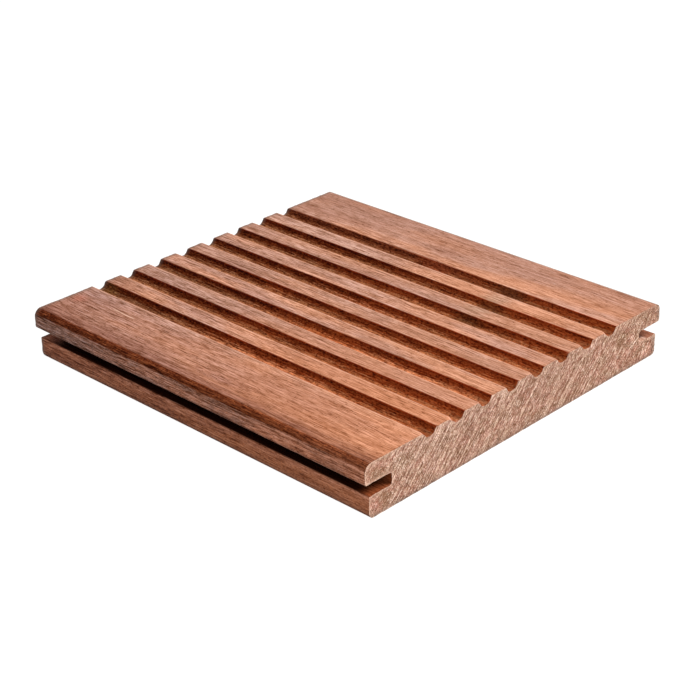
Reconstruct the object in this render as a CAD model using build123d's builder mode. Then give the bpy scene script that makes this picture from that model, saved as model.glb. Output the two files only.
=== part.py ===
from build123d import *
import os

# Bamboo decking board: a short length of one pressed-strand board, milled along X and sawn square at both ends.
# The frame has X along the grooves, Y across the board and Z up, with the origin at the middle of the underside.
# All sizes are in millimetres.

# Overall size, the width taken across the upper lips
board_length = 164.0
board_width = 155.0
board_thickness = 20.0

# Rounded long edges
top_edge_radius = 3.0
bottom_edge_radius = 2.0

# Clip slot along each side, with the lower lip set back behind the upper one
lower_lip_thickness = 8.2
lower_lip_setback = 1.8
slot_height = 4.4
slot_depth = 10.4
slot_corner_radius = 1.0
upper_lip_corner_radius = 0.8
lower_lip_corner_radius = 0.4

# Slip-resisting grooves in the walking face
groove_count = 8
groove_pitch = 13.6
groove_width = 6.2
groove_floor_width = 3.2
groove_depth = 2.15
groove_floor_radius = 2.2
groove_arris_radius = 0.35

# Levels and places that follow from the sizes above
upper_lip_underside = lower_lip_thickness + slot_height
groove_floor_level = board_thickness - groove_depth
slot_reach = lower_lip_setback + slot_depth
half_width = board_width / 2
lower_lip_side = half_width - lower_lip_setback
side_lines = ((-half_width, 0), (half_width, 0))
lowered_side_lines = ((-half_width, lower_lip_thickness), (half_width, lower_lip_thickness))

# Points closer than this count as one point
coincidence = 0.001


def corners_at_level(sketch, level):
    """The corners of the section that stand at one level above the underside."""
    return sketch.vertices().filter_by(lambda corner: abs(corner.Y - level) < coincidence)


def corners_at(sketch, side, level):
    """The two of those corners that stand at one distance left and right of the middle."""
    return corners_at_level(sketch, level).filter_by(lambda corner: abs(abs(corner.X) - side) < coincidence)


with BuildPart() as board:
    with BuildSketch(Plane.YZ) as section:
        # Planed blank, with the lower lips set back and the clip slots cut in from both sides
        Rectangle(board_width, board_thickness, align=(Align.CENTER, Align.MIN))
        with Locations(*side_lines):
            Rectangle(
                2 * lower_lip_setback,
                lower_lip_thickness,
                align=(Align.CENTER, Align.MIN),
                mode=Mode.SUBTRACT,
            )
        with Locations(*lowered_side_lines):
            RectangleRounded(
                2 * slot_reach,
                slot_height,
                slot_corner_radius,
                align=(Align.CENTER, Align.MIN),
                mode=Mode.SUBTRACT,
            )
        # Long edges of the two lips
        fillet(corners_at(section, half_width, board_thickness), top_edge_radius)
        fillet(corners_at(section, half_width, upper_lip_underside), upper_lip_corner_radius)
        fillet(corners_at(section, lower_lip_side, lower_lip_thickness), lower_lip_corner_radius)
        fillet(corners_at(section, lower_lip_side, 0), bottom_edge_radius)
        # Grooves with sloping walls, a rounded floor and eased arrises
        with Locations((0, board_thickness)):
            with GridLocations(groove_pitch, groove_pitch, groove_count, 1):
                Polygon(
                    (-groove_width / 2, 0),
                    (-groove_floor_width / 2, -groove_depth),
                    (groove_floor_width / 2, -groove_depth),
                    (groove_width / 2, 0),
                    align=None,
                    mode=Mode.SUBTRACT,
                )
        fillet(corners_at_level(section, groove_floor_level), groove_floor_radius)
        # The outermost vertices at the top are the ends of the rounded long edges, the others are groove arrises
        top_vertices = section.vertices().group_by(Axis.Y)[-1].sort_by(Axis.X)
        fillet(top_vertices[1:-1], groove_arris_radius)
    extrude(amount=board_length / 2, both=True)

os.makedirs("parts", exist_ok=True)
board.part.label = "decking_board"
export_step(board.part, "parts/decking_board.step")
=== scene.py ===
import math

import bpy
import numpy as np
from mathutils import Matrix, Vector
from mathutils.geometry import delaunay_2d_cdt


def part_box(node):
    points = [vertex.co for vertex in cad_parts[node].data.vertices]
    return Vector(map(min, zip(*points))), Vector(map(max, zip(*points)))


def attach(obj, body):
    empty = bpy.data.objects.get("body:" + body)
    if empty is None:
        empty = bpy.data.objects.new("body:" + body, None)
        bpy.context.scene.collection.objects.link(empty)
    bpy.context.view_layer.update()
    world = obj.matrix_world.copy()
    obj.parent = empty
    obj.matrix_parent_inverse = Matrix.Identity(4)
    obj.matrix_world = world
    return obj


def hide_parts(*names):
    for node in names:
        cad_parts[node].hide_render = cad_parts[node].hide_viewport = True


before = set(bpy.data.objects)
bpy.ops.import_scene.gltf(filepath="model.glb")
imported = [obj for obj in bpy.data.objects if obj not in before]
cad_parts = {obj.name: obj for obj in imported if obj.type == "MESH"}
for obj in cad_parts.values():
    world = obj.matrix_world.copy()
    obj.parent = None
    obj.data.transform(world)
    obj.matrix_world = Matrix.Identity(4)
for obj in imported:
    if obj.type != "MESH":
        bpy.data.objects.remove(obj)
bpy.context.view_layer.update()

# Bamboo decking board, a short length sawn square at both ends.
# X runs along the grooves, Y across them and Z up, in metres.
mm = 0.001
board_node = "decking_board"
board_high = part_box(board_node)[1]
half_length = board_high.x
half_width = board_high.y
thickness = board_high.z

# Section of the board, as milled
top_edge_radius = 3.0 * mm
bottom_edge_radius = 2.0 * mm
lower_lip_thickness = 8.2 * mm
lower_lip_setback = 1.8 * mm
slot_height = 4.4 * mm
slot_depth = 10.4 * mm
slot_corner_radius = 1.0 * mm
upper_lip_corner_radius = 0.8 * mm
lower_lip_corner_radius = 0.4 * mm
groove_count = 8
groove_pitch = 13.6 * mm
groove_width = 6.2 * mm
groove_floor_width = 3.2 * mm
groove_depth = 2.15 * mm
groove_floor_radius = 2.2 * mm
groove_arris_radius = 0.35 * mm
upper_lip_underside = lower_lip_thickness + slot_height
lower_lip_side = half_width - lower_lip_setback
slot_wall = lower_lip_side - slot_depth
groove_field = (groove_count - 1) / 2 * groove_pitch + groove_width / 2
groove_middles = [(place - (groove_count - 1) / 2) * groove_pitch for place in range(groove_count)]

# Mesh spacing
face_step = 0.5 * mm
slot_step = 0.9 * mm
underside_step = 1.5 * mm
end_step = 0.75 * mm
station_gap = 1.35 * mm
first_station_gap = 0.15 * mm
station_growth = 1.25
arc_step_share = 0.7
end_jitter = 0.12
smooth_angle = math.radians(50)
hair = 0.01 * mm

# Flat layout of the surface: rows of the square taken by each sheet
sheet_margin = 0.004
top_rows = (0.004, 0.5)
underside_rows = (0.508, 0.736)
left_end_rows = (0.744, 0.866)
right_end_rows = (0.874, 0.996)

# Wear, and the lean of the groove mask that paints shade on the walls
# The groove mask leans with the walls' facing: walls facing the front take the painted shade, walls facing
# the back the lighter floor colour, and the far brink starts the shade early.
wall_lean = 0.1
near_wall_depth = 0.9
far_brink_depth = 0.11
brink_drop = 0.2 * mm
arris_reach = 0.3 * mm
flank_drop = 0.5 * mm
underside_reach = 0.3 * mm
strand_relief = 0.03 * mm
pit_depth = 0.15 * mm
torn_wall_depth = 0.12 * mm
fray_depth = 0.2 * mm
fray_reach = 0.3 * mm
long_rim_reach = 0.25 * mm
end_rim_reach = 0.5 * mm
saw_slant = math.radians(48)
saw_stroke_depth = 0.1 * mm
torn_end_depth = 0.14 * mm
left_end_seed = 11
right_end_seed = 21
nick_depth = 0.55 * mm
right_chip_length = (1.2 * mm, 3.4 * mm)
right_chip_depth = (0.55 * mm, 1.0 * mm)
left_chip_length = (0.6 * mm, 1.6 * mm)
left_chip_depth = (0.1 * mm, 0.35 * mm)
back_chip_share = 0.35
chip_tilt = math.radians(33)
chip_reach = 3.2 * mm
chip_start = 0.2 * mm
full_chip = 0.4 * mm

# Stains of the wood: place in mm, reach along and across in mm, tint, share; on the ends across and up
land_marks = (
    ((-77, -60), (4, 4), (0.43, 0.14, 0.09, 1), 0.5),
    ((-74, -54), (20, 8), (0.24, 0.12, 0.092, 1), 0.6),
    ((37, 36), (8, 18), (0.33, 0.19, 0.125, 1), 0.7),
    ((8, -68), (16, 3), (0.31, 0.15, 0.115, 1), 0.6),
    ((32, -63), (44, 8), (0.3, 0.125, 0.075, 1), 0.5),
    ((-66, -27), (30, 10), (0.28, 0.15, 0.11, 1), 0.5),
)
groove_marks = (
    ((36, 49), (11, 5), (0.05, 0.018, 0.006, 1), 0.65),
    ((38, 34), (12, 5), (0.06, 0.022, 0.007, 1), 0.65),
    ((37, 20), (11, 5), (0.07, 0.026, 0.008, 1), 0.6),
    ((0, 49), (9, 5), (0.3, 0.04, 0.012, 1), 0.4),
    ((10, -20), (26, 4), (0.38, 0.075, 0.014, 1), 0.5),
    ((-78, -47), (7, 5), (0.19, 0.09, 0.025, 1), 0.5),
    ((-40, 50), (110, 4), (0.22, 0.06, 0.025, 1), 0.4),
)
floor_marks = (
    ((5, -48), (50, 8), (0.6, 0.2, 0.085, 1), 0.45),
    ((48, -21), (66, 8), (0.6, 0.21, 0.09, 1), 0.4),
    ((0, 6), (30, 8), (0.6, 0.2, 0.09, 1), 0.4),
    ((-66, -48), (36, 7), (0.1, 0.035, 0.015, 1), 0.6),
    ((-66, -21), (36, 7), (0.11, 0.04, 0.016, 1), 0.6),
    ((0, 47), (220, 8), (0.13, 0.045, 0.016, 1), 0.5),
)
end_marks = (
    ((72, 4), (3.5, 4.5), (0.5, 0.2, 0.14, 1), 0.6),
    ((-73, 3), (4, 4), (0.47, 0.2, 0.15, 1), 0.5),
    ((-60, 14), (3, 6), (0.3, 0.2, 0.12, 1), 0.5),
    ((55, 14), (7, 3), (0.34, 0.21, 0.12, 1), 0.5),
    ((70, 16), (8, 4), (0.42, 0.27, 0.18, 1), 0.5),
)

# Splinters torn up beside the back slot: middle across and up in mm, slant in degrees, half length in mm
splinters = (
    ((62.8, 9.6), 27, 4.4),
    ((68.0, 4.0), 68, 3.6),
    ((70.6, 4.5), 63, 2.2),
)

# Scratch on the front land: middle along and across in mm, slant in degrees, half length in mm
scratch = ((-54.8, -58.1), -3.3, 7.2)

# Wood tones of the lands, with painted shade at the front, the back and the front shoulder
pink_land = (0.376, 0.193, 0.136, 1)
orange_land = (0.44, 0.196, 0.112, 1)
stained_land = (0.27, 0.118, 0.076, 1)
shaded_front_land = (0.27, 0.115, 0.076, 1)
bright_front_land = (0.455, 0.177, 0.086, 1)
shaded_back_land = (0.29, 0.142, 0.1, 1)
orange_field = (0.43, 0.165, 0.08, 1)
darker_land = (0.29, 0.155, 0.11, 1)
paler_land = (0.55, 0.34, 0.26, 1)
oiled_and_shaded_shoulder = (0.15, 0.05, 0.03, 1)
scratch_tone = (0.72, 0.47, 0.34, 1)

# Wood tones of the grooves: oil-darkened walls with painted shade in them, and sanded brinks that also
# carry a painted highlight
left_wall_shade = (0.087, 0.008, 0.0012, 1)
right_wall_shade = (0.19, 0.022, 0.003, 1)
left_lower_wall_shade = (0.17, 0.034, 0.008, 1)
right_lower_wall_shade = (0.34, 0.064, 0.014, 1)
left_floor = (0.27, 0.098, 0.04, 1)
right_floor = (0.33, 0.103, 0.037, 1)
floor_at_end = (0.17, 0.056, 0.022, 1)
sanded_brink_and_highlight = (0.56, 0.29, 0.19, 1)

# Wood tones of the sides, edges and slots, with painted shade in the slots, above the slot and at the foot,
# painted light at the slot's left end and along the lower lip's top
dark_upper_side = (0.2, 0.098, 0.07, 1)
light_upper_side = (0.47, 0.185, 0.105, 1)
dark_lower_side = (0.2, 0.064, 0.032, 1)
light_lower_side = (0.36, 0.128, 0.06, 1)
painted_low_shade = (0.14, 0.052, 0.028, 1)
painted_lip_light = (0.42, 0.17, 0.1, 1)
painted_overhang_shade = (0.09, 0.04, 0.028, 1)
painted_foot_shade = (0.06, 0.02, 0.011, 1)
dark_edge = (0.092, 0.015, 0.004, 1)
red_edge = (0.25, 0.064, 0.022, 1)
slot_mouth_shade = (0.03, 0.006, 0.002, 1)
slot_left_end_light = (0.45, 0.19, 0.12, 1)
slot_inside_shade = (0.03, 0.008, 0.003, 1)
slot_right_end_shade = (0.2, 0.05, 0.017, 1)
back_slot_mouth = (0.27, 0.105, 0.06, 1)
back_slot_inside_shade = (0.03, 0.012, 0.007, 1)
torn_slot_foot = (0.5, 0.29, 0.21, 1)
dark_underside = (0.29, 0.122, 0.072, 1)
light_underside = (0.38, 0.16, 0.09, 1)

# Wood tones of the specks and rims, with painted glints among the wall specks and painted shadow in the
# torn rims
dark_speck = (0.4, 0.3, 0.25, 1)
pale_speck = (0.37, 0.37, 0.35, 1)
wall_speck_and_glint = (0.32, 0.088, 0.022, 1)
torn_rim_and_shadow = (0.12, 0.05, 0.03, 1)
grey_back_rim = (0.24, 0.19, 0.165, 1)
grey_left_rim = (0.17, 0.11, 0.085, 1)
broken_wood = (0.42, 0.22, 0.15, 1)

# Wood tones of the sawn ends, with painted shade at their foot
pink_end = (0.46, 0.218, 0.153, 1)
olive_end = (0.32, 0.17, 0.102, 1)
pale_stroke = (0.68, 0.46, 0.35, 1)
dark_stroke = (0.22, 0.1, 0.066, 1)
pale_saw_line = (0.72, 0.48, 0.36, 1)
dark_saw_line = (0.23, 0.11, 0.07, 1)
painted_end_foot_shade = (0.12, 0.07, 0.055, 1)
back_lip_rim = (0.17, 0.115, 0.09, 1)
splinter_tone = (0.8, 0.56, 0.44, 1)
pale_end_rim = (0.64, 0.42, 0.31, 1)

# Light, floor and gloss of the wood
back_softbox_place = (0.92, 1.23, 1.56)
back_softbox_size = 1.35
back_softbox_power = 86
right_softbox_place = (0.9, -0.25, 0.3)
right_softbox_size = 0.4
right_softbox_power = 3
sky_strength = 0.35
floor_reach = 4.0
floor_drop = 0.1 * mm
floor_grey = (0.05, 0.05, 0.05, 1)
white = (1, 1, 1, 1)
wood_gloss = 0.03

# Camera, as the photograph was taken
image_side = 700
focal_pixels = 1728.0
sensor_width = 36.0
camera_azimuth = math.radians(44.18)
camera_elevation = math.radians(26.95)
camera_roll = math.radians(-1.0)
camera_distance = 612.7 * mm
aim_point = Vector((11.5 * mm, -10.4 * mm, 10.0 * mm))


# Section outline

def half_section():
    """Corners of half the section, from the top's middle to the underside: (y, z, corner radius)."""
    corners = []
    floor_level = thickness - groove_depth
    for middle in groove_middles[groove_count // 2:]:
        corners.append((middle - groove_width / 2, thickness, groove_arris_radius))
        corners.append((middle - groove_floor_width / 2, floor_level, groove_floor_radius))
        corners.append((middle + groove_floor_width / 2, floor_level, groove_floor_radius))
        corners.append((middle + groove_width / 2, thickness, groove_arris_radius))
    corners.append((half_width, thickness, top_edge_radius))
    corners.append((half_width, upper_lip_underside, upper_lip_corner_radius))
    corners.append((slot_wall, upper_lip_underside, slot_corner_radius))
    corners.append((slot_wall, lower_lip_thickness, slot_corner_radius))
    corners.append((lower_lip_side, lower_lip_thickness, lower_lip_corner_radius))
    corners.append((lower_lip_side, 0.0, bottom_edge_radius))
    return corners


def step_at(point):
    """Mesh spacing wanted at a point of the section."""
    if point[1] < hair:
        return underside_step
    in_slot = abs(point[0]) < lower_lip_side and point[1] < upper_lip_underside + hair
    return slot_step if in_slot else face_step


def straight_run(start, end):
    """Points between two ends of a straight run, without the ends, and their outward normals."""
    run = end - start
    length = np.linalg.norm(run)
    count = max(1, round(length / step_at((start + end) / 2)))
    outward = np.array((-run[1], run[0])) / length
    return [(start + run * share, outward) for share in np.arange(1, count) / count]


def rounded_corner(before, corner, after, radius):
    """Points round a filleted corner, from tangent to tangent, and their outward normals."""
    to_before = (before - corner) / np.linalg.norm(before - corner)
    to_after = (after - corner) / np.linalg.norm(after - corner)
    half_angle = math.acos(float(np.dot(to_before, to_after))) / 2
    middle_way = to_before + to_after
    centre = corner + middle_way / np.linalg.norm(middle_way) * radius / math.sin(half_angle)
    first_ray = corner + to_before * radius / math.tan(half_angle) - centre
    last_ray = corner + to_after * radius / math.tan(half_angle) - centre
    first = math.atan2(first_ray[1], first_ray[0])
    turn = math.atan2(last_ray[1], last_ray[0]) - first
    turn = (turn + math.pi) % (2 * math.pi) - math.pi
    facing = 1.0 if turn < 0 else -1.0
    count = max(2, round(abs(turn) * radius / (arc_step_share * step_at(corner))))
    angles = first + turn * np.arange(count + 1) / count
    rays = [np.array((math.cos(angle), math.sin(angle))) for angle in angles]
    return [(centre + ray * radius, ray * facing) for ray in rays]


def section_outline():
    """Points and outward normals round the section, clockwise seen from +X, from the underside's middle."""
    right = half_section()
    corners = [(-y, z, radius) for y, z, radius in reversed(right)] + right
    places = [np.array(corner[:2]) for corner in corners]
    middle = np.array((0.0, 0.0))
    outline = [(middle, np.array((0.0, -1.0)))]
    for index, corner in enumerate(corners):
        following = places[(index + 1) % len(places)]
        arc = rounded_corner(places[index - 1], places[index], following, corner[2])
        outline += straight_run(outline[-1][0], arc[0][0]) + arc
    outline += straight_run(outline[-1][0], middle)
    points, normals = zip(*outline)
    return np.array(points), np.array(normals)


def inside_groove_field(outline):
    """Which points of the section lie on the grooves or on the lands between them."""
    across = np.abs(outline[:, 0])
    return (across < groove_field + arris_reach) & (outline[:, 1] > thickness - 1.2 * groove_depth)


def groove_zones(outline, normals):
    """Masks of the grooves: how deep each point lies, leant by the walls' facing so that walls facing the
    front take painted shade, and the near brink of each groove.
    """
    level = outline[:, 1]
    in_field = inside_groove_field(outline)
    sunk = (thickness - level) / groove_depth - wall_lean * normals[:, 0]
    near_wall = (normals[:, 0] > 0.5) & (level < thickness - brink_drop)
    sunk = np.where(near_wall, np.maximum(sunk, near_wall_depth), sunk)
    brink = (outline[:, 0] + groove_field) % groove_pitch
    far_brink = np.abs(brink - groove_width) < arris_reach
    near_brink = np.abs((brink + groove_pitch / 2) % groove_pitch - groove_pitch / 2) < arris_reach
    depth = np.clip(np.maximum(sunk, far_brink_depth * far_brink), 0, 1)
    rounded = in_field & near_brink & (level > thickness - brink_drop)
    return {"groove": np.where(in_field, depth, 0), "arris": np.where(rounded, 1.0, 0.0)}


def edge_zone(outline, normals):
    """Mask of the rounded top edges: a wide band in front and a narrow one at the back."""
    rounding = np.abs(outline[:, 0]) > half_width - top_edge_radius - hair
    rounding &= outline[:, 1] > thickness - top_edge_radius
    turned = np.arctan2(np.abs(normals[:, 0]), normals[:, 1]) / (math.pi / 2)
    front_band = np.clip(np.minimum((turned - 0.02) / 0.25, (0.85 - turned) / 0.2), 0, 1)
    bend = 2 * np.abs(normals[:, 0]) * np.clip(normals[:, 1], 0, 1)
    back_band = bend * np.clip(2.7 - 3 * normals[:, 1], 0, 1)
    return np.where(rounding, np.where(outline[:, 0] < 0, front_band, back_band), 0)


def section_zones(outline, normals):
    """Masks round the section: which finish each point belongs to, and where shade is painted, 0 to 1."""
    across = np.abs(outline[:, 0])
    level = outline[:, 1]
    between_lips = (level > lower_lip_thickness - hair) & (level < upper_lip_underside + hair)
    flank = ~inside_groove_field(outline) & ~between_lips & (level < thickness - flank_drop)
    slot_share = (half_width - across) / (half_width - slot_wall)
    zones = groove_zones(outline, normals)
    zones["edge"] = edge_zone(outline, normals)
    zones["slot"] = np.where(between_lips, np.clip(slot_share, 0, 1), 0)
    zones["side"] = np.where(flank, np.maximum(np.abs(normals[:, 0]), normals[:, 1] < 0), 0)
    # Downward-facing bottom rounding, which takes painted contact shade.
    zones["foot"] = np.where(level < bottom_edge_radius, np.clip(-normals[:, 1], 0, 1), 0)
    zones["under"] = np.where(level < underside_reach, 1.0, 0.0)
    return zones


# Relief and wear

def eased(share):
    """Share from 0 to 1 that starts and stops gently."""
    return share * share * (3 - 2 * share)


def random_field(along, across, cell_length, cell_width, seed):
    """Smooth random values from 0 to 1, on a grid of cells of the given length and width."""
    along = (along - np.min(along)) / cell_length
    across = (across - np.min(across)) / cell_width
    grid = np.random.default_rng(seed).random((int(along.max()) + 2, int(across.max()) + 2))
    row = along.astype(int)
    column = across.astype(int)
    forward = eased(along - row)
    sideways = eased(across - column)
    low = grid[row, column] * (1 - forward) + grid[row + 1, column] * forward
    high = grid[row, column + 1] * (1 - forward) + grid[row + 1, column + 1] * forward
    return low * (1 - sideways) + high * sideways


def lengthwise_stations():
    """Places along the board, close together at the sawn ends where the edges are broken."""
    gaps = [first_station_gap]
    while gaps[-1] < station_gap:
        gaps.append(gaps[-1] * station_growth)
    offsets = np.concatenate(([0.0], np.cumsum(gaps)))
    inner = half_length - offsets[-1]
    middle = np.linspace(-inner, inner, round(2 * inner / station_gap) + 1)
    return np.concatenate((offsets - half_length, middle[1:-1], (half_length - offsets)[::-1]))


def milled_relief(x, around, zones):
    """How far each point of the long faces sinks: sunken strands, pits and torn groove walls."""
    strands = random_field(x, around, 11.0 * mm, 1.1 * mm, 1)
    pits = np.clip(random_field(x, around, 5.0 * mm, 0.7 * mm, 2) - 0.72, 0, 1)
    torn = random_field(x, around, 2.6 * mm, 0.6 * mm, 3)
    frayed = random_field(x, around, 60 * mm, 1.3 * mm, 4) * random_field(x, around, 60 * mm, 0.6 * mm, 5)
    end_gap = half_length - np.abs(x)
    depth = strand_relief * strands + pit_depth * pits + torn_wall_depth * torn * zones["groove"]
    depth += fray_depth * frayed * np.exp(-end_gap / fray_reach)
    return depth * (1 - zones["under"])


def chip_depth(x, chips):
    """Depth along one arris of small nicks and of the larger chips broken out at the two ends."""
    (left_length, left_depth), (right_length, right_depth), seed = chips
    nicks = np.clip(random_field(x, x * 0, 2.4 * mm, 1.0, seed) - 0.66, 0, 1)
    ragged = 0.7 + 0.6 * random_field(x, x * 0, 0.7 * mm, 1.0, seed + 1)
    from_left = np.clip(1 - (x + half_length) / left_length, 0, 1)
    from_right = np.clip(1 - (half_length - x) / right_length, 0, 1)
    broken = left_depth * from_left ** 1.5 + right_depth * from_right ** 1.5
    return (nick_depth * nicks + broken) * ragged


def break_arrises(x, y, z):
    """Plane the groove arrises back where they are nicked or chipped, and say how much was taken off."""
    chance = np.random.default_rng(31)
    taken = np.zeros(x.shape)
    for number, middle in enumerate(groove_middles):
        for facing in (-1, 1):
            share = 1.0 if facing < 0 else back_chip_share
            left = (chance.uniform(*left_chip_length), chance.uniform(*left_chip_depth) * share)
            right = (chance.uniform(*right_chip_length), chance.uniform(*right_chip_depth) * share)
            depth = chip_depth(x[:, 0], (left, right, 40 + 4 * number + 2 * (facing > 0)))[:, None]
            corner = middle + facing * groove_width / 2
            across = -facing * math.sin(chip_tilt)
            upward = math.cos(chip_tilt)
            proud = (y - corner) * across + (z - thickness) * upward + depth - chip_start
            cut = np.where(np.abs(y - corner) < chip_reach, np.clip(proud, 0, None), 0)
            y -= cut * across
            z -= cut * upward
            taken = np.maximum(taken, cut)
    return taken


def end_relief(y, z, seed):
    """How deep the sawn end lies behind the end plane: slanting saw strokes and torn strand ends."""
    along_stroke = y * math.cos(saw_slant) + z * math.sin(saw_slant)
    across_stroke = z * math.cos(saw_slant) - y * math.sin(saw_slant)
    strokes = random_field(along_stroke, across_stroke, 5.0 * mm, 0.8 * mm, seed)
    torn = random_field(y, z, 1.1 * mm, 0.9 * mm, seed + 1)
    return saw_stroke_depth * strokes + torn_end_depth * np.clip(torn - 0.55, 0, 1) / 0.45


# Board mesh

def inside(points, polygon):
    """Which points lie inside a polygon, by counting the sides that a ray crosses."""
    result = np.zeros(len(points), bool)
    for start, end in zip(polygon, np.roll(polygon, -1, axis=0)):
        rise = end[1] - start[1]
        if rise == 0:
            continue
        spans = (start[1] > points[:, 1]) != (end[1] > points[:, 1])
        crossing = start[0] + (points[:, 1] - start[1]) / rise * (end[0] - start[0])
        result ^= spans & (points[:, 0] < crossing)
    return result


def fill_end(edge_points):
    """Points inside a sawn end, their distance from its edge, and triangles that face +X."""
    low = edge_points.min(axis=0)
    high = edge_points.max(axis=0)
    rows = np.arange(low[1], high[1], end_step * math.sqrt(3) / 2)
    columns = np.arange(low[0], high[0], end_step)
    grid = np.array([(y + row % 2 * end_step / 2, z) for row, z in enumerate(rows) for y in columns])
    grid += np.random.default_rng(5).uniform(-end_jitter, end_jitter, grid.shape) * end_step
    grid = grid[inside(grid, edge_points)]
    gaps = np.full(len(grid), np.inf)
    for point in edge_points:
        gaps = np.minimum(gaps, np.linalg.norm(grid - point, axis=1))
    clear = gaps > 0.5 * end_step
    grid = grid[clear]
    everything = [Vector(point) for point in np.concatenate((edge_points, grid)) / mm]
    boundary = list(range(len(edge_points)))[::-1]
    filled = delaunay_2d_cdt(everything, [], [boundary], 1, 1e-6)
    return grid, gaps[clear], filled[2]


def long_surface():
    """Grid of points of the long faces, station by station, and the masks of their finishes."""
    outline, normals = section_outline()
    zones = section_zones(outline, normals)
    runs = np.linalg.norm(np.roll(outline, -1, axis=0) - outline, axis=1)
    around = np.concatenate(([0.0], np.cumsum(runs)[:-1]))
    x, around = np.meshgrid(lengthwise_stations(), around, indexing="ij")
    masks = {name: np.broadcast_to(zone, x.shape) for name, zone in zones.items()}
    depth = milled_relief(x, around, masks)
    y = outline[:, 0] - depth * normals[:, 0]
    z = outline[:, 1] - depth * normals[:, 1]
    masks["broken"] = np.clip(break_arrises(x, y, z) / full_chip, 0, 1)
    masks["rim"] = np.exp(-(half_length - np.abs(x)) / long_rim_reach)
    for row, seed in ((0, left_end_seed), (-1, right_end_seed)):
        x[row] = np.sign(x[row]) * (half_length - end_relief(y[row], z[row], seed))
    return np.stack((x, y, z), axis=-1), masks


def long_quads(stations, ring):
    """Corner numbers of the four-sided faces between neighbouring stations."""
    first = np.arange(stations - 1)[:, None] * ring
    place = np.arange(ring)[None, :]
    nearby = (place + 1) % ring
    quads = np.stack((first + place, first + nearby, first + ring + nearby, first + ring + place), axis=-1)
    return quads.reshape(-1, 4).tolist()


def long_sheets():
    """Flat layout of the long faces: one sheet over the top from slot to slot, one under the board."""
    outline = section_outline()[0]
    runs = np.linalg.norm(np.roll(outline, -1, axis=0) - outline, axis=1)
    begin = np.cumsum(runs) - runs
    slot_middle = (lower_lip_thickness + upper_lip_underside) / 2
    front = np.argmin(np.hypot(outline[:, 0] + slot_wall, outline[:, 1] - slot_middle))
    back = np.argmin(np.hypot(outline[:, 0] - slot_wall, outline[:, 1] - slot_middle))
    place = np.arange(len(outline))
    over_top = (place >= front) & (place < back)
    top_span = begin[back] - begin[front]
    start = np.where(over_top, begin - begin[front], (begin - begin[back]) % runs.sum())
    span = np.where(over_top, top_span, runs.sum() - top_span)
    low, high = np.where(over_top[:, None], top_rows, underside_rows).T
    stations = lengthwise_stations()
    share = (stations[:, None] + half_length) / (2 * half_length)
    rows = low + (high - low) * share
    left = np.broadcast_to(start / span, rows[1:].shape)
    right = np.broadcast_to((start + runs) / span, rows[1:].shape)
    corners = (left, rows[:-1], right, rows[:-1], right, rows[1:], left, rows[1:])
    return np.stack(corners, axis=-1).reshape(-1, 2)


def end_strips(points):
    """Flat layout of the two sawn ends, each a strip of its own."""
    low, high = np.where(points[:, :1] > 0, right_end_rows, left_end_rows).T
    across = (points[:, 1] + half_width) / (2 * half_width)
    return np.column_stack((across, low + (high - low) * points[:, 2] / thickness))


def lay_out_surface(mesh):
    """Give the mesh a flat layout in which no two faces overlap."""
    corners = np.empty(len(mesh.loops), np.int32)
    mesh.loops.foreach_get("vertex_index", corners)
    points = np.empty(3 * len(mesh.vertices), np.float32)
    mesh.vertices.foreach_get("co", points)
    sheets = long_sheets()
    strips = end_strips(points.reshape(-1, 3)[corners[len(sheets):]])
    layout = np.concatenate((sheets, strips))
    layout[:, 0] = sheet_margin + (1 - 2 * sheet_margin) * layout[:, 0]
    layer = mesh.uv_layers.new(name="OFBake")
    layer.data.foreach_set("uv", layout.astype(np.float32).reshape(-1))


def build_board():
    """The whole board as one closed mesh: long faces in the first material, sawn ends in the second."""
    grid, masks = long_surface()
    stations, ring = grid.shape[:2]
    points = [grid.reshape(-1, 3)]
    values = {name: [mask.reshape(-1)] for name, mask in masks.items()}
    faces = long_quads(stations, ring)
    long_count = len(faces)
    total = stations * ring
    for row, seed in ((0, left_end_seed), (stations - 1, right_end_seed)):
        side = 1 if row else -1
        inner, gaps, triangles = fill_end(grid[row][:, 1:])
        inner_x = side * (half_length - end_relief(inner[:, 0], inner[:, 1], seed))
        points.append(np.column_stack((inner_x, inner)))
        numbers = np.concatenate((np.arange(ring) + row * ring, np.arange(len(inner)) + total))
        faces += [numbers[list(corners)[::side]].tolist() for corners in triangles]
        for name, value in values.items():
            value.append(np.exp(-gaps / end_rim_reach) if name == "rim" else np.zeros(len(inner)))
        total += len(inner)
    return make_board(np.concatenate(points), faces, long_count, values)


def make_board(points, faces, long_count, values):
    """The board's object from its points and faces, with its masks and its flat layout."""
    mesh = bpy.data.meshes.new("strand_board")
    mesh.from_pydata(points.tolist(), [], faces)
    mesh.polygons.foreach_set("use_smooth", np.ones(len(faces), bool))
    on_end = np.arange(len(faces)) >= long_count
    mesh.polygons.foreach_set("material_index", on_end.astype(np.int32))
    for name, value in values.items():
        layer = mesh.attributes.new(name, "FLOAT", "POINT")
        layer.data.foreach_set("value", np.concatenate(value).astype(np.float32))
    mesh.update()
    lay_out_surface(mesh)
    mesh.set_sharp_from_angle(angle=smooth_angle)
    board = bpy.data.objects.new("strand_board", mesh)
    bpy.context.scene.collection.objects.link(board)
    return board


# Shader nodes

grain_marks = ("Strand", "Fibre", "Seam", "Pore", "Pale Fibre")


def add_node(tree, kind, inputs, **settings):
    """A node with its settings made, and each input either set to a value or linked to a socket."""
    node = tree.nodes.new(kind)
    for name, value in settings.items():
        setattr(node, name, value)
    for name, value in inputs.items():
        if isinstance(value, bpy.types.NodeSocket):
            tree.links.new(value, node.inputs[name])
        else:
            node.inputs[name].default_value = value
    return node


def place_group(tree, group, inputs):
    """Outputs of a shared effect, placed with its own values."""
    return add_node(tree, "ShaderNodeGroup", inputs, node_tree=group).outputs


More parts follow.
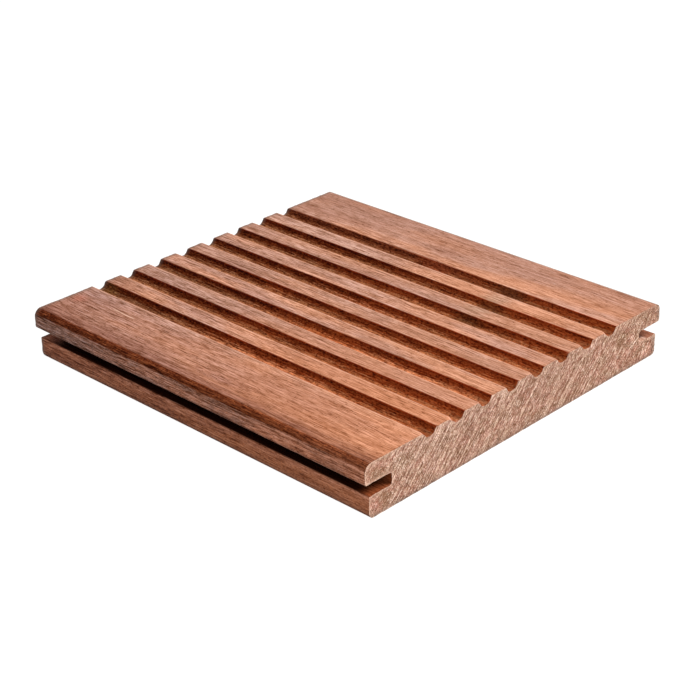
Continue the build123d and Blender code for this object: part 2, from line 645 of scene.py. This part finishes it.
def work_out(tree, operation, first, second=0.0, third=0.0):
    """Result of a sum on up to three values."""
    inputs = {0: first, 1: second, 2: third}
    return add_node(tree, "ShaderNodeMath", inputs, operation=operation).outputs[0]


def combine(tree, operation, first, second):
    """Result of a sum on two vectors, number by number."""
    return add_node(tree, "ShaderNodeVectorMath", {0: first, 1: second}, operation=operation).outputs[0]


def grade(tree, value, low, high, start=0.0, end=1.0):
    """Value eased from start at low to end at high, and held beyond them."""
    inputs = {"Value": value, "From Min": low, "From Max": high, "To Min": start, "To Max": end}
    return add_node(tree, "ShaderNodeMapRange", inputs, interpolation_type="SMOOTHSTEP").outputs[0]


def blend(tree, share, first, second, way="MIX"):
    """First colour with a share of the second laid over it."""
    inputs = {0: share, 6: first, 7: second}
    node = add_node(tree, "ShaderNodeMix", inputs, data_type="RGBA", blend_type=way, clamp_factor=True)
    return node.outputs[2]


def noise(tree, point, cell, detail=2.0, roughness=0.5, output="Fac"):
    """Noise whose features are about as long as the cell in each direction, in millimetres."""
    stretched = combine(tree, "DIVIDE", point, cell)
    inputs = {"Vector": stretched, "Scale": 1.0, "Detail": detail, "Roughness": roughness}
    return add_node(tree, "ShaderNodeTexNoise", inputs).outputs[output]


def mask(tree, name):
    """One of the finish masks that the board's points carry."""
    return add_node(tree, "ShaderNodeAttribute", {}, attribute_name=name).outputs["Fac"]


def split_up(tree, point):
    """The X, Y and Z of a point."""
    return add_node(tree, "ShaderNodeSeparateXYZ", {0: point}).outputs


def cell_size(tree, length, width):
    """Size of a cell along X, with the same width both ways."""
    return add_node(tree, "ShaderNodeCombineXYZ", {0: length, 1: width, 2: width}).outputs[0]


def board_point(tree):
    """Place on the board in millimetres."""
    coordinates = add_node(tree, "ShaderNodeTexCoord", {}).outputs["Object"]
    return combine(tree, "DIVIDE", coordinates, (mm, mm, mm))


def new_group(name, inputs, outputs):
    """An empty node group with named inputs and outputs, and its input and output nodes."""
    tree = bpy.data.node_groups.new(name, "ShaderNodeTree")
    kinds = {"value": "NodeSocketFloat", "colour": "NodeSocketColor", "vector": "NodeSocketVector"}
    for socket, kind in inputs.items():
        tree.interface.new_socket(socket, in_out="INPUT", socket_type=kinds[kind])
    for socket, kind in outputs.items():
        tree.interface.new_socket(socket, in_out="OUTPUT", socket_type=kinds[kind])
    return tree, tree.nodes.new("NodeGroupInput").outputs, tree.nodes.new("NodeGroupOutput").inputs


def strand_grain_group():
    """Pressed strands along X, seen on any cut: strand tints, fibres, seams, pores, pale fibres."""
    inputs = {"Point": "vector", "Wander": "value", "Strand Length": "value", "Strand Width": "value",
              "Fibre Length": "value", "Fibre Width": "value"}
    outputs = {name: "value" for name in grain_marks + ("Height",)}
    tree, given, result = new_group("strand_grain", inputs, outputs)
    drift = noise(tree, given["Point"], (38.0, 7.0, 7.0), 1.0, 0.5, "Color")
    drift = combine(tree, "SUBTRACT", drift, (0.5, 0.5, 0.5))
    wander = {0: drift, "Scale": given["Wander"]}
    drift = add_node(tree, "ShaderNodeVectorMath", wander, operation="SCALE").outputs[0]
    point = combine(tree, "ADD", given["Point"], drift)
    strand_cell = cell_size(tree, given["Strand Length"], given["Strand Width"])
    fibre_cell = cell_size(tree, given["Fibre Length"], given["Fibre Width"])
    packed = combine(tree, "DIVIDE", point, strand_cell)
    packing = {"Vector": packed, "Scale": 1.0}
    strands = add_node(tree, "ShaderNodeTexVoronoi", packing)
    tint = add_node(tree, "ShaderNodeSeparateColor", {0: strands.outputs["Color"]}).outputs[0]
    rims = add_node(tree, "ShaderNodeTexVoronoi", packing, feature="DISTANCE_TO_EDGE")
    seam = grade(tree, rims.outputs["Distance"], 0.0, 0.09, 1.0, 0.0)
    long_cell = combine(tree, "MULTIPLY", fibre_cell, (4.0, 1.5, 1.5))
    short_cell = combine(tree, "MULTIPLY", fibre_cell, (0.33, 1.2, 1.2))
    long_fibre = grade(tree, noise(tree, point, long_cell, 2.0, 0.55), 0.3, 0.7)
    fibre = grade(tree, noise(tree, point, fibre_cell, 2.0, 0.6), 0.3, 0.7)
    fibre = work_out(tree, "MULTIPLY_ADD", fibre, 0.65, work_out(tree, "MULTIPLY", long_fibre, 0.35))
    pore_point = combine(tree, "ADD", point, (17.0, 5.0, 3.0))
    pore = grade(tree, noise(tree, pore_point, short_cell, 1.0), 0.6, 0.72)
    pale_point = combine(tree, "ADD", point, (41.0, 9.0, 7.0))
    pale_cell = combine(tree, "MULTIPLY", fibre_cell, (0.4, 1.0, 1.0))
    pale = grade(tree, noise(tree, pale_point, pale_cell, 1.0), 0.62, 0.74)
    height = work_out(tree, "MULTIPLY_ADD", tint, 0.4, fibre)
    height = work_out(tree, "MULTIPLY_ADD", pore, -0.8, height)
    height = work_out(tree, "MULTIPLY_ADD", seam, -0.4, height)
    for name, socket in zip(outputs, (tint, fibre, seam, pore, pale, height)):
        tree.links.new(socket, result[name])
    return tree


def strand_colour_group():
    """Wood colour broken up by its strands: darker and lighter ones, fibres, seams, pores."""
    inputs = {"Wood": "colour", "Pale Gain": "colour"}
    settings = ("Strand Contrast", "Fibre Contrast", "Pore Share", "Pale Share")
    inputs.update({name: "value" for name in grain_marks + settings})
    tree, given, result = new_group("strand_colour", inputs, {"Colour": "colour"})
    strand = work_out(tree, "SUBTRACT", given["Strand"], 0.5)
    fibre = work_out(tree, "SUBTRACT", given["Fibre"], 0.5)
    shade = work_out(tree, "MULTIPLY_ADD", strand, given["Strand Contrast"], 1.0)
    shade = work_out(tree, "MULTIPLY_ADD", fibre, given["Fibre Contrast"], shade)
    shade = work_out(tree, "MULTIPLY_ADD", given["Seam"], -0.16, shade)
    pores = work_out(tree, "MULTIPLY", given["Pore"], given["Pore Share"])
    shade = work_out(tree, "SUBTRACT", shade, pores)
    shade = work_out(tree, "MAXIMUM", shade, 0.3)
    green = work_out(tree, "POWER", shade, 1.35)
    blue = work_out(tree, "POWER", shade, 1.7)
    shade = add_node(tree, "ShaderNodeCombineColor", {0: shade, 1: green, 2: blue}).outputs[0]
    wood = blend(tree, 1.0, given["Wood"], shade, "MULTIPLY")
    pale = work_out(tree, "MULTIPLY", given["Pale Fibre"], given["Pale Share"])
    pale_wood = blend(tree, 1.0, given["Wood"], given["Pale Gain"], "MULTIPLY")
    tree.links.new(blend(tree, pale, wood, pale_wood), result["Colour"])
    return tree


# Finishes

def new_material(name):
    """A material, its node tree and its shader."""
    material = bpy.data.materials.new(name)
    material.use_nodes = True
    tree = material.node_tree
    shader = tree.nodes["Principled BSDF"]
    return material, tree, shader


def add_marks(tree, point, colour, marks):
    """Colour with soft oval stains added: (x, y), (reach along, reach across), tint, share."""
    ragged = noise(tree, point, (5.0, 1.5, 1.5), 2.0)
    for (x, y), (along, across), tint, share in marks:
        offset = combine(tree, "SUBTRACT", point, (x, y, 0.0))
        offset = combine(tree, "MULTIPLY", offset, (1 / along, 1 / across, 0.0))
        gap = add_node(tree, "ShaderNodeVectorMath", {0: offset}, operation="LENGTH").outputs["Value"]
        gap = work_out(tree, "MULTIPLY_ADD", ragged, 1.0, gap)
        colour = blend(tree, grade(tree, gap, 0.6, 1.6, share, 0.0), colour, tint)
    return colour


def thin_mark(tree, point, line, share):
    """Mask of a thin wavering line in the plane of the point's first two values."""
    middle, slant, half_run = line
    offset = combine(tree, "SUBTRACT", point, (*middle, 0.0))
    turning = {"Vector": offset, "Angle": -math.radians(slant)}
    turned = add_node(tree, "ShaderNodeVectorRotate", turning, rotation_type="Z_AXIS").outputs[0]
    waver = noise(tree, point, (6.0, 6.0, 6.0), 1.0)
    place = split_up(tree, turned)
    across = work_out(tree, "MULTIPLY_ADD", waver, 1.0, work_out(tree, "SUBTRACT", place["Y"], 0.5))
    width = grade(tree, work_out(tree, "ABSOLUTE", across), 0.08, 0.34, share, 0.0)
    ends = grade(tree, work_out(tree, "ABSOLUTE", place["X"]), 0.62 * half_run, half_run, 1.0, 0.0)
    return work_out(tree, "MULTIPLY", width, ends)


def vary_lands(tree, place, wood):
    """Every other land between the grooves a shade darker, the rest a shade paler towards the left."""
    turn = work_out(tree, "MULTIPLY", place["Y"], math.pi * mm / groove_pitch)
    wave = work_out(tree, "COSINE", turn)
    between = grade(tree, work_out(tree, "ABSOLUTE", place["Y"]), 46.0, 52.0, 1.0, 0.0)
    wave = work_out(tree, "MULTIPLY", wave, between)
    wood = blend(tree, grade(tree, wave, 0.0, 1.0, 0.0, 0.3), wood, darker_land)
    leftward = grade(tree, place["X"], -60.0, 40.0, 0.25, 0.0)
    back_half = grade(tree, place["Y"], 0.0, 36.0)
    paler = work_out(tree, "MULTIPLY", leftward, back_half)
    paler = work_out(tree, "MULTIPLY", paler, grade(tree, wave, 0.0, -1.0))
    return blend(tree, paler, wood, paler_land)


def land_colour(tree, point, place, streaks):
    """Sanded lands: orange and greyer pink patches, more orange to the right, with painted shade at the
    front-left, at the back and on the front shoulder, which is also oil-darkened.
    """
    clouds = noise(tree, point, (45.0, 9.0, 9.0), 3.0, 0.55)
    clouds = work_out(tree, "MULTIPLY_ADD", place["X"], 0.0012, clouds)
    wood = blend(tree, grade(tree, clouds, 0.34, 0.66), pink_land, orange_land)
    stains = noise(tree, point, (26.0, 8.0, 8.0), 2.0, 0.5)
    stains = work_out(tree, "MULTIPLY_ADD", place["X"], -0.0012, stains)
    wood = blend(tree, grade(tree, stains, 0.5, 0.75, 0.0, 0.55), wood, stained_land)
    # Painted shade: the front lands darker towards the left, farther from the lamp.
    leftward = work_out(tree, "MULTIPLY_ADD", place["X"], -0.003, 0.38)
    front = work_out(tree, "MULTIPLY", grade(tree, place["Y"], -50.0, -58.0), leftward)
    wood = blend(tree, front, wood, shaded_front_land)
    rightward = grade(tree, place["X"], -40.0, 60.0, 0.0, 0.55)
    front = work_out(tree, "MULTIPLY", grade(tree, place["Y"], -50.0, -56.0), rightward)
    wood = blend(tree, front, wood, bright_front_land)
    # Painted shade: the back lands darker.
    back = grade(tree, place["Y"], 54.0, 70.0, 0.0, 0.6)
    wood = blend(tree, back, wood, shaded_back_land)
    orange = grade(tree, place["X"], -45.0, 40.0, 0.0, 0.6)
    for far, near in ((-15.0, -27.0), (-52.0, -46.0)):
        orange = work_out(tree, "MULTIPLY", orange, grade(tree, place["Y"], far, near))
    wood = blend(tree, orange, wood, orange_field)
    wood = vary_lands(tree, place, wood)
    wood = add_marks(tree, point, wood, land_marks)
    # Front shoulder: oil-darkened wood with painted shade growing towards the front edge.
    shoulder = grade(tree, place["Y"], -67.5, -74.5)
    shoulder = work_out(tree, "MULTIPLY", shoulder, grade(tree, streaks, 0.35, 0.65, 0.4, 0.85))
    return blend(tree, shoulder, wood, oiled_and_shaded_shoulder)


def groove_colour(tree, point, place, groove, frayed):
    """Groove walls of oil-darkened wood with painted shade, near-black high up, warmer on the floor and to
    the right, with redder patches.
    """
    patches = noise(tree, point, (22.0, 5.0, 5.0), 2.0)
    rightward = grade(tree, work_out(tree, "MULTIPLY_ADD", place["X"], 0.004, patches), 0.2, 0.9)
    # Painted shade in the grooves: walls near-black high up, lighter lower down and on the floor, over
    # oil-darkened wood.
    wall = blend(tree, rightward, left_wall_shade, right_wall_shade)
    lower_wall = blend(tree, rightward, left_lower_wall_shade, right_lower_wall_shade)
    floor_wood = blend(tree, rightward, left_floor, right_floor)
    floor_wood = add_marks(tree, point, floor_wood, floor_marks)
    floor_wood = blend(tree, grade(tree, place["X"], 74.0, 80.0, 0.0, 0.65), floor_wood, floor_at_end)
    from_depth = grade(tree, place["X"], -40.0, 20.0, 0.25, 0.12)
    to_depth = grade(tree, place["X"], -40.0, 20.0, 0.8, 0.55)
    deep = blend(tree, grade(tree, groove, from_depth, to_depth), wall, lower_wall)
    wood = blend(tree, grade(tree, work_out(tree, "ADD", groove, frayed), 0.72, 1.05), deep, floor_wood)
    return add_marks(tree, point, wood, groove_marks)


def side_colour(tree, point, place, streaks):
    """Planed lip sides: greyer above the slot, redder below, with painted shade to the left, at the foot
    and just above the slot, and painted light along the top of the lower lip.
    """
    tone = noise(tree, point, (22.0, 5.0, 5.0), 2.0)
    # Painted shade: the sides darker towards the left, farther from the lamp.
    tone = work_out(tree, "MULTIPLY_ADD", place["X"], 0.003, tone)
    mottle = noise(tree, point, (4.0, 1.0, 1.0), 2.0)
    tone = work_out(tree, "MULTIPLY_ADD", mottle, 0.5, tone)
    tone = grade(tree, work_out(tree, "MULTIPLY_ADD", streaks, 0.4, tone), 0.55, 1.35)
    upper = blend(tree, tone, dark_upper_side, light_upper_side)
    lower = blend(tree, tone, dark_lower_side, light_lower_side)
    # Painted shade towards the foot of the lower side, and painted light along its top under the slot.
    lower = blend(tree, grade(tree, place["Z"], 4.5, 1.5, 0.0, 0.5), lower, painted_low_shade)
    lower = blend(tree, grade(tree, place["Z"], 5.0, 7.8, 0.0, 0.5), lower, painted_lip_light)
    wood = blend(tree, grade(tree, place["Z"], 9.0, 12.0), lower, upper)
    # Painted shade on the upper lip just above the slot.
    overhang = grade(tree, place["Z"], 12.0, 12.6)
    overhang = work_out(tree, "MULTIPLY", overhang, grade(tree, place["Z"], 14.2, 12.9, 0.0, 0.6))
    wood = blend(tree, overhang, wood, painted_overhang_shade)
    # Painted contact shade on the downward-facing bottom rounding.
    return blend(tree, grade(tree, mask(tree, "foot"), 0.0, 0.6), wood, painted_foot_shade)


def edge_colour(tree, point, place, fibre):
    """Dark oiled band on the rounded top edge: near-black and red-brown streaks, lighter to the right."""
    streaks = noise(tree, point, (5.0, 0.5, 0.5), 3.0, 0.6)
    tone = work_out(tree, "MULTIPLY_ADD", place["X"], 0.0014, streaks)
    tone = work_out(tree, "MULTIPLY_ADD", fibre, 0.3, tone)
    return blend(tree, grade(tree, tone, 0.4, 1.0), dark_edge, red_edge)


def slot_shade_colour(tree, place):
    """Slot walls, painted in shade: in front near-black inside, lighter at the right end and with painted
    light in bare brown at the left end; at the back paler at the mouth and painted near-black deeper in.
    """
    # Painted shade: near-black inside the front slot, with painted light at its left end and lighter shade
    # at its right end; the back slot near-black deep inside.
    wood = blend(tree, grade(tree, place["X"], -70.0, -80.0), slot_mouth_shade, slot_left_end_light)
    wood = blend(tree, grade(tree, mask(tree, "slot"), 0.5, 1.0), wood, slot_inside_shade)
    wood = blend(tree, grade(tree, place["X"], 75.0, 81.0), wood, slot_right_end_shade)
    inward = grade(tree, mask(tree, "slot"), 0.4, 0.8)
    back_wood = blend(tree, inward, back_slot_mouth, back_slot_inside_shade)
    torn_foot = grade(tree, place["X"], 79.0, 80.5)
    torn_foot = work_out(tree, "MULTIPLY", torn_foot, grade(tree, place["Y"], 71.0, 69.5))
    back_wood = blend(tree, torn_foot, back_wood, torn_slot_foot)
    return blend(tree, grade(tree, place["Y"], 60.0, 65.0), wood, back_wood)


def long_face_colour(tree, point, fibre):
    """Plain wood colour of every long face before the strands break it up."""
    place = split_up(tree, point)
    streaks = noise(tree, point, (14.0, 0.8, 0.8), 2.0)
    frayed = work_out(tree, "MULTIPLY_ADD", fibre, 0.5, -0.25)
    groove = mask(tree, "groove")
    wall = grade(tree, work_out(tree, "MULTIPLY_ADD", frayed, 0.12, groove), 0.015, 0.09)
    groove_wood = groove_colour(tree, point, place, groove, frayed)
    colour = blend(tree, wall, land_colour(tree, point, place, streaks), groove_wood)
    sides = side_colour(tree, point, place, streaks)
    colour = blend(tree, grade(tree, mask(tree, "side"), 0.6, 0.85), colour, sides)
    ragged = work_out(tree, "MULTIPLY_ADD", noise(tree, point, (9.0, 0.5, 0.5), 3.0, 0.6), 0.7, -0.35)
    band = grade(tree, work_out(tree, "ADD", mask(tree, "edge"), ragged), 0.25, 0.75)
    band = work_out(tree, "MULTIPLY", band, grade(tree, place["X"], 40.0, 80.0, 1.0, 0.82))
    colour = blend(tree, band, colour, edge_colour(tree, point, place, fibre))
    under_wood = blend(tree, grade(tree, streaks, 0.3, 0.7), dark_underside, light_underside)
    colour = blend(tree, mask(tree, "under"), colour, under_wood)
    return blend(tree, grade(tree, mask(tree, "slot"), 0.0, 0.2), colour, slot_shade_colour(tree, place))


def add_specks(tree, point, colour):
    """Colour with dark and pale specks of torn fibre, strong in the grooves, faint elsewhere, and painted
    glints on the groove walls.
    """
    specks = noise(tree, point, (1.1, 0.6, 0.6), 3.0, 0.65)
    sides = work_out(tree, "MULTIPLY", mask(tree, "side"), 0.55)
    edges = work_out(tree, "MULTIPLY", mask(tree, "edge"), 0.7)
    share = work_out(tree, "MAXIMUM", grade(tree, mask(tree, "groove"), 0.04, 0.2), sides)
    share = work_out(tree, "MAXIMUM", share, edges)
    dark = work_out(tree, "MULTIPLY", grade(tree, specks, 0.5, 0.36), share)
    pale = work_out(tree, "MULTIPLY", grade(tree, specks, 0.53, 0.7), share)
    colour = blend(tree, dark, colour, dark_speck, "MULTIPLY")
    colour = blend(tree, pale, colour, pale_speck, "DODGE")
    # Extra pale specks on the shaded walls: torn fibre that also serves as painted glints.
    walls = grade(tree, mask(tree, "groove"), 0.85, 0.55, 0.0, 0.6)
    return blend(tree, work_out(tree, "MULTIPLY", pale, walls), colour, wall_speck_and_glint)


def face_contrast(tree, place):
    """How strongly the fibres show on the lands and the lip sides: more towards the left."""
    lands = grade(tree, place["X"], -60.0, 50.0, 1.4, 1.0)
    lands = grade(tree, place["Y"], 50.0, 57.0, lands, 0.85)
    lower_side = grade(tree, place["X"], -60.0, 60.0, 1.75, 1.05)
    upper_side = grade(tree, place["X"], -60.0, 60.0, 2.5, 1.3)
    sides = grade(tree, place["Z"], 9.0, 12.0, lower_side, upper_side)
    return grade(tree, mask(tree, "side"), 0.7, 1.0, lands, sides)


def add_rims(tree, point, place, colour):
    """Colour with its rims: torn at the ends with painted shadow of the chips, greyer at the back edge and
    left end, pale where broken.
    """
    # Torn rims at the ends: dark chipped wood with the painted shadow of the chips.
    torn = noise(tree, point, (1.2, 0.9, 0.9), 2.0)
    torn = work_out(tree, "MULTIPLY", mask(tree, "rim"), grade(tree, torn, 0.45, 0.6, 0.15, 0.9))
    colour = blend(tree, torn, colour, torn_rim_and_shadow)
    back_rim = grade(tree, place["Z"], 18.5, 19.2, 0.0, 0.6)
    back_rim = work_out(tree, "MULTIPLY", grade(tree, place["Y"], 74.3, 75.4), back_rim)
    colour = blend(tree, back_rim, colour, grey_back_rim)
    left_rim = grade(tree, place["X"], -79.5, -81.7, 0.0, 0.55)
    colour = blend(tree, left_rim, colour, grey_left_rim)
    worn = work_out(tree, "MULTIPLY", mask(tree, "broken"), 0.55)
    return blend(tree, worn, colour, broken_wood)


def strand_wood(tree, group, grain, values):
    """Wood colour broken up by the strands of a grain."""
    inputs = {name: grain[name] for name in grain_marks}
    return place_group(tree, group, {**inputs, **values})["Colour"]


def finish_wood(tree, shader, colour, roughness, bumps):
    """Lead the colour, the roughness and the bumps of a wood to its shader."""
    bump = add_node(tree, "ShaderNodeBump", bumps)
    tree.links.new(colour, shader.inputs["Base Color"])
    tree.links.new(roughness, shader.inputs["Roughness"])
    tree.links.new(bump.outputs["Normal"], shader.inputs["Normal"])
    shader.inputs["Specular IOR Level"].default_value = wood_gloss


def strand_face_material(grain_group, colour_group):
    """Oiled and sanded long faces."""
    material, tree, shader = new_material("oiled_strand_face")
    point = board_point(tree)
    place = split_up(tree, point)
    cells = {"Strand Length": 75.0, "Strand Width": 1.8, "Fibre Length": 5.0, "Fibre Width": 0.34}
    grain = place_group(tree, grain_group, {"Point": point, "Wander": 1.6, **cells})
    rough = work_out(tree, "MAXIMUM", mask(tree, "groove"), mask(tree, "edge"))
    shares = {"Pore Share": 0.42, "Pale Share": grade(tree, rough, 0.05, 0.3, 0.45, 0.15)}
    contrasts = {"Strand Contrast": 0.15, "Fibre Contrast": face_contrast(tree, place)}
    wood = {"Wood": long_face_colour(tree, point, grain["Fibre"]), "Pale Gain": (1.4, 1.75, 2.0, 1)}
    colour = strand_wood(tree, colour_group, grain, {**wood, **contrasts, **shares})
    colour = add_specks(tree, point, colour)
    # Near brinks, the arrises that face the lamp: a pale sanded line that is also a painted highlight.
    brinks = work_out(tree, "MULTIPLY", mask(tree, "arris"), 0.7)
    colour = blend(tree, brinks, colour, sanded_brink_and_highlight)
    scratched = thin_mark(tree, point, scratch, 0.6)
    colour = blend(tree, scratched, colour, scratch_tone)
    colour = add_rims(tree, point, place, colour)
    roughness = grade(tree, rough, 0.0, 0.6, 0.55, 0.78)
    roughness = work_out(tree, "MULTIPLY_ADD", grain["Pore"], 0.12, roughness)
    height = work_out(tree, "MULTIPLY", grain["Height"], grade(tree, rough, 0.05, 0.5, 0.5, 1.6))
    height = work_out(tree, "MULTIPLY_ADD", scratched, -1.0, height)
    bumps = {"Strength": 0.5, "Distance": 0.12 * mm, "Height": height}
    finish_wood(tree, shader, colour, roughness, bumps)
    return material


def sawn_end_colour(tree, point, strokes, saw_lines):
    """Dry wood of the sawn ends: pink and olive patches, pale and dark saw strokes, and painted shade
    darkening the lower edge.
    """
    place = split_up(tree, point)
    patches = noise(tree, point, (9.0, 7.0, 4.0), 2.0)
    wood = blend(tree, grade(tree, patches, 0.36, 0.64), pink_end, olive_end)
    flat_point = add_node(tree, "ShaderNodeCombineXYZ", {0: place["Y"], 1: place["Z"]}).outputs[0]
    wood = add_marks(tree, flat_point, wood, end_marks)
    pale = work_out(tree, "MULTIPLY_ADD", place["Z"], 0.008, strokes)
    pale = work_out(tree, "MULTIPLY_ADD", place["Y"], -0.0012, pale)
    calm = grade(tree, place["Y"], -64.0, -69.0, 0.75, 0.42)
    pale = grade(tree, pale, 0.62, 0.92, 0.0, calm)
    wood = blend(tree, pale, wood, pale_stroke)
    dark = grade(tree, strokes, 0.42, 0.12, 0.0, calm)
    wood = blend(tree, dark, wood, dark_stroke)
    wood = blend(tree, grade(tree, saw_lines, 0.03, 0.11, 0.0, 0.62), wood, pale_saw_line)
    wood = blend(tree, grade(tree, saw_lines, -0.04, -0.13, 0.0, 0.42), wood, dark_saw_line)
    # Painted contact shade: the end darker towards its foot.
    for top, bottom, share in ((4.0, 0.5, 0.14), (1.2, 0.3, 0.75)):
        wood = blend(tree, grade(tree, place["Z"], top, bottom, 0.0, share), wood, painted_end_foot_shade)
    lip_reach = work_out(tree, "ADD", place["Y"], grade(tree, place["Z"], 9.0, 12.0, 2.5, 0.0))
    wood = blend(tree, grade(tree, lip_reach, 74.8, 77.3, 0.0, 0.6), wood, back_lip_rim)
    on_right = grade(tree, place["X"], 0.0, 1.0)
    for line in splinters:
        splinter = work_out(tree, "MULTIPLY", thin_mark(tree, flat_point, line, 1.0), on_right)
        wood = blend(tree, splinter, wood, splinter_tone)
    return wood


def sawn_end_material(grain_group, colour_group):
    """Dry sawn ends: strand ends under slanting saw strokes, with frayed pale edges."""
    material, tree, shader = new_material("sawn_strand_end")
    point = board_point(tree)
    across = split_up(tree, point)["Y"]
    cells = {"Strand Length": 75.0, "Strand Width": 1.5, "Fibre Length": 3.0, "Fibre Width": 0.5}
    grain = place_group(tree, grain_group, {"Point": point, "Wander": 2.0, **cells})
    turning = {"Vector": point, "Angle": -saw_slant}
    turned = add_node(tree, "ShaderNodeVectorRotate", turning, rotation_type="X_AXIS").outputs[0]
    strokes = grade(tree, noise(tree, turned, (4.0, 2.0, 0.45), 3.0, 0.6), 0.34, 0.66)
    clear = grade(tree, across, 20.0, 65.0, 1.0, 0.4)
    clear = work_out(tree, "MULTIPLY", grade(tree, across, -70.0, -62.0), clear)
    saw_lines = noise(tree, turned, (9.0, 30.0, 0.5), 1.0, 0.5)
    saw_lines = work_out(tree, "MULTIPLY", work_out(tree, "SUBTRACT", saw_lines, 0.5), clear)
    shares = {"Pore Share": 0.3, "Pale Share": 0.35}
    contrasts = {"Strand Contrast": 0.25, "Fibre Contrast": 0.7}
    wood = {"Wood": sawn_end_colour(tree, point, strokes, saw_lines), "Pale Gain": (1.4, 1.65, 1.8, 1)}
    colour = strand_wood(tree, colour_group, grain, {**wood, **contrasts, **shares})
    front_rim = grade(tree, across, -60.0, -66.0, 0.25, 0.6)
    rim = work_out(tree, "MULTIPLY", mask(tree, "rim"), grade(tree, strokes, 0.35, 0.6, front_rim, 0.75))
    colour = blend(tree, rim, colour, pale_end_rim)
    roughness = grade(tree, strokes, 0.3, 0.7, 0.92, 0.72)
    height = work_out(tree, "MULTIPLY_ADD", strokes, 2.0, grain["Height"])
    height = work_out(tree, "MULTIPLY_ADD", saw_lines, 8.0, height)
    bumps = {"Strength": 1.0, "Distance": 0.15 * mm, "Height": height}
    finish_wood(tree, shader, colour, roughness, bumps)
    return material


# Floor, lights and camera

def build_floor():
    """Plain white floor under the board."""
    mesh = bpy.data.meshes.new("floor")
    sides = ((-1, -1), (1, -1), (1, 1), (-1, 1))
    corners = [(x * floor_reach, y * floor_reach, 0) for x, y in sides]
    mesh.from_pydata(corners, [], [(0, 1, 2, 3)])
    floor = bpy.data.objects.new("floor", mesh)
    floor.location.z = -floor_drop
    bpy.context.scene.collection.objects.link(floor)
    material, _, shader = new_material("white_floor")
    shader.inputs["Base Color"].default_value = floor_grey
    shader.inputs["Roughness"].default_value = 0.9
    shader.inputs["Specular IOR Level"].default_value = 0.0
    shader.inputs["Emission Color"].default_value = white
    shader.inputs["Emission Strength"].default_value = 1.0
    mesh.materials.append(material)


def add_softbox(name, place, size, power):
    """Square soft light at a place, aimed at the board."""
    lamp = bpy.data.lights.new(name, "AREA")
    lamp.shape = "SQUARE"
    lamp.size = size
    lamp.energy = power
    softbox = bpy.data.objects.new(name, lamp)
    softbox.location = place
    softbox.rotation_euler = Vector(place).to_track_quat("Z", "Y").to_euler()
    bpy.context.scene.collection.objects.link(softbox)


def build_light():
    """Two softboxes in a dim white studio."""
    add_softbox("back_softbox", back_softbox_place, back_softbox_size, back_softbox_power)
    add_softbox("right_softbox", right_softbox_place, right_softbox_size, right_softbox_power)
    world = bpy.data.worlds.new("studio")
    world.use_nodes = True
    background = world.node_tree.nodes["Background"]
    background.inputs["Color"].default_value = white
    background.inputs["Strength"].default_value = sky_strength
    bpy.context.scene.world = world
    bpy.context.scene.view_settings.view_transform = "Standard"


def build_camera():
    """The photograph's camera."""
    lens = bpy.data.cameras.new("camera")
    lens.sensor_width = sensor_width
    lens.lens = focal_pixels / image_side * sensor_width
    lens.clip_start = 10 * mm
    camera = bpy.data.objects.new("camera", lens)
    back = Vector((math.sin(camera_azimuth) * math.cos(camera_elevation),
                   -math.cos(camera_azimuth) * math.cos(camera_elevation),
                   math.sin(camera_elevation)))
    level_right = Vector((math.cos(camera_azimuth), math.sin(camera_azimuth), 0))
    level_up = back.cross(level_right)
    right = level_right * math.cos(camera_roll) + level_up * math.sin(camera_roll)
    up = level_up * math.cos(camera_roll) - level_right * math.sin(camera_roll)
    turn = Matrix((right, up, back)).transposed().to_4x4()
    camera.matrix_world = Matrix.Translation(aim_point + back * camera_distance) @ turn
    bpy.context.scene.collection.objects.link(camera)
    bpy.context.scene.camera = camera


strand_grain = strand_grain_group()
strand_colour = strand_colour_group()
board = build_board()
board.data.materials.append(strand_face_material(strand_grain, strand_colour))
board.data.materials.append(sawn_end_material(strand_grain, strand_colour))
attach(board, "root")
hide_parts(board_node)
build_floor()
build_light()
build_camera()
